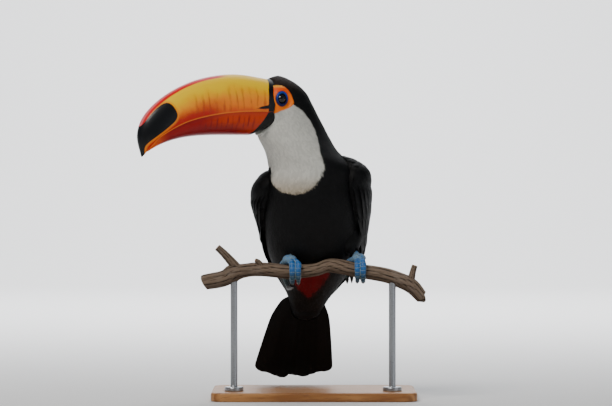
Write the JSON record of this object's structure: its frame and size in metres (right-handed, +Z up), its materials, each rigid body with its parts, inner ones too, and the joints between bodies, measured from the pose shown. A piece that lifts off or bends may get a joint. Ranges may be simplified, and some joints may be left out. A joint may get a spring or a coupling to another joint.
{
  "type": "toco toucan model on a perch stand",
  "caption": "Life-size still model of a toco toucan gripping a short cut branch, head turned to its right, held up by two rods on a flat base.",
  "frame": {"origin": "middle of the flat underside of the stand's base", "axes": "+Z up; the breast faces -Y; the bird's left is +X, and the bill points to -X and a little to -Y"},
  "size_m": [0.3275, 0.2286, 0.3726],
  "materials": {
    "black_plumage": "feathers, matte black",
    "white_plumage": "feathers, soft white",
    "red_plumage": "feathers, crimson",
    "orange_skin": "bare skin, soft sheen",
    "blue_lid": "bare skin, soft sheen",
    "eye": "glossy",
    "bill_upper": "horn, satin gloss",
    "bill_lower": "horn, satin gloss",
    "foot_skin": "scaled skin",
    "claw": "horn",
    "bark": "weathered bark",
    "oak": "oiled",
    "steel": "brushed"
  },
  "bodies": {
    "root": {"head": "black_plumage", "neck": "black_plumage", "trunk": "black_plumage", "thigh_left": "black_plumage", "thigh_right": "black_plumage", "wing_coverts_left": "black_plumage", "wing_coverts_right": "black_plumage", "wing_flight_left": "black_plumage", "wing_flight_right": "black_plumage", "tail": "black_plumage", "throat_bib": "white_plumage", "rump_coverts": "white_plumage", "undertail_coverts": "red_plumage", "bare_skin_left": "orange_skin", "bare_skin_right": "orange_skin", "eyelid_left": "blue_lid", "eyelid_right": "blue_lid", "eye_left": "eye", "eye_right": "eye", "bill_upper": "bill_upper", "bill_lower": "bill_lower", "foot_left": "foot_skin", "foot_right": "foot_skin", "claw_first_left": "claw", "claw_second_left": "claw", "claw_third_left": "claw", "claw_fourth_left": "claw", "claw_first_right": "claw", "claw_second_right": "claw", "claw_third_right": "claw", "claw_fourth_right": "claw", "perch_branch": "bark", "stand_base": "oak", "stand_rod_left": "steel", "stand_rod_right": "steel"}
  },
  "joints": []
}
